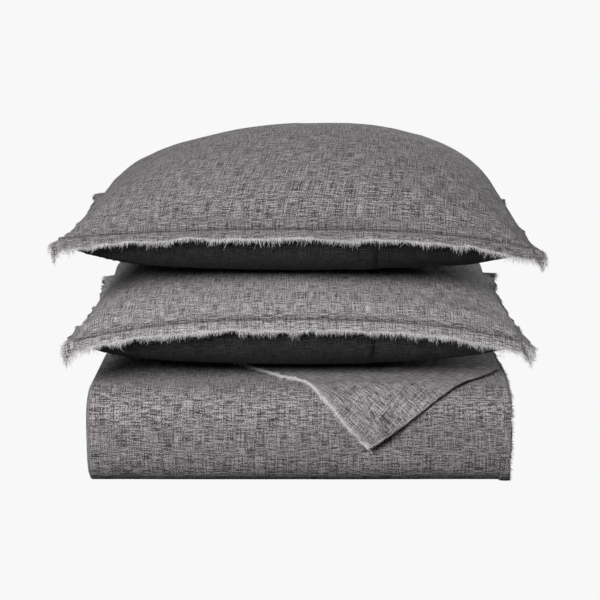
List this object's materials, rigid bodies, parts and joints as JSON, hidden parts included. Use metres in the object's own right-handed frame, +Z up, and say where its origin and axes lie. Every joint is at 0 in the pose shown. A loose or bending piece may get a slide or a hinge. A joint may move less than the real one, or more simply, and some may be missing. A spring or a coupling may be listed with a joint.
{
  "type": "duvet set",
  "caption": "Folded duvet in a frayed-edge chambray cover with one corner turned down, and two filled shams stacked on it.",
  "frame": {"origin": "on the surface that the stack stands on, under the middle of the set", "axes": "+Z up, -Y towards the front fold of the duvet, +X to the right as seen from the front"},
  "size_m": [0.7212, 0.5412, 0.492],
  "materials": {
    "chambray": "slubbed charcoal and off-white chambray weave",
    "pale_thread": "frayed off-white yarn ends",
    "dark_thread": "frayed charcoal yarn ends",
    "white_cotton": "plain white cotton",
    "batting": "white fibre filling",
    "shell_button": "polished grey"
  },
  "bodies": {
    "folded_duvet": {"duvet_insert": "batting", "duvet_cover_face": "chambray", "duvet_cover_reverse": "chambray", "duvet_side_fringe": "dark_thread", "foot_placket": "chambray", "foot_fringe": "pale_thread", "head_flange": "chambray", "head_fringe": "pale_thread", "closure_button_1": "shell_button", "closure_button_2": "shell_button", "closure_button_3": "shell_button", "closure_button_4": "shell_button", "closure_button_5": "shell_button", "closure_button_6": "shell_button", "closure_button_7": "shell_button", "corner_tie_1": "white_cotton", "corner_tie_2": "white_cotton", "corner_tie_3": "white_cotton", "corner_tie_4": "white_cotton", "corner_root": "chambray", "corner_root_fringe": "pale_thread"},
    "lifting_corner": {"turned_corner": "chambray", "turned_corner_pale_fringe": "pale_thread", "turned_corner_dark_fringe": "dark_thread"},
    "lower_sham": {"lower_sham_front_panel": "chambray", "lower_sham_back_panel": "chambray", "lower_sham_back_underlap": "chambray", "lower_sham_flange": "chambray", "lower_sham_fringe": "pale_thread", "lower_sham_flange_stitching": "dark_thread", "lower_pillow_ticking": "white_cotton", "lower_pillow_fill": "batting"},
    "upper_sham": {"upper_sham_front_panel": "chambray", "upper_sham_back_panel": "chambray", "upper_sham_back_underlap": "chambray", "upper_sham_flange": "chambray", "upper_sham_fringe": "pale_thread", "upper_sham_flange_stitching": "dark_thread", "upper_pillow_ticking": "white_cotton", "upper_pillow_fill": "batting"}
  },
  "joints": [
    {"name": "corner_lift", "type": "hinge", "parent": "folded_duvet", "child": "lifting_corner", "pos_m": [0.1, -0.24179, 0.13079], "axis": [-1, 0, 0], "range_deg": [0, 100]},
    {"name": "lower_sham_lift", "type": "slide", "parent": "folded_duvet", "child": "lower_sham", "axis": [0, 0, 1], "range_m": [0, 0.3]},
    {"name": "upper_sham_lift", "type": "slide", "parent": "lower_sham", "child": "upper_sham", "axis": [0, 0, 1], "range_m": [0, 0.3]}
  ]
}
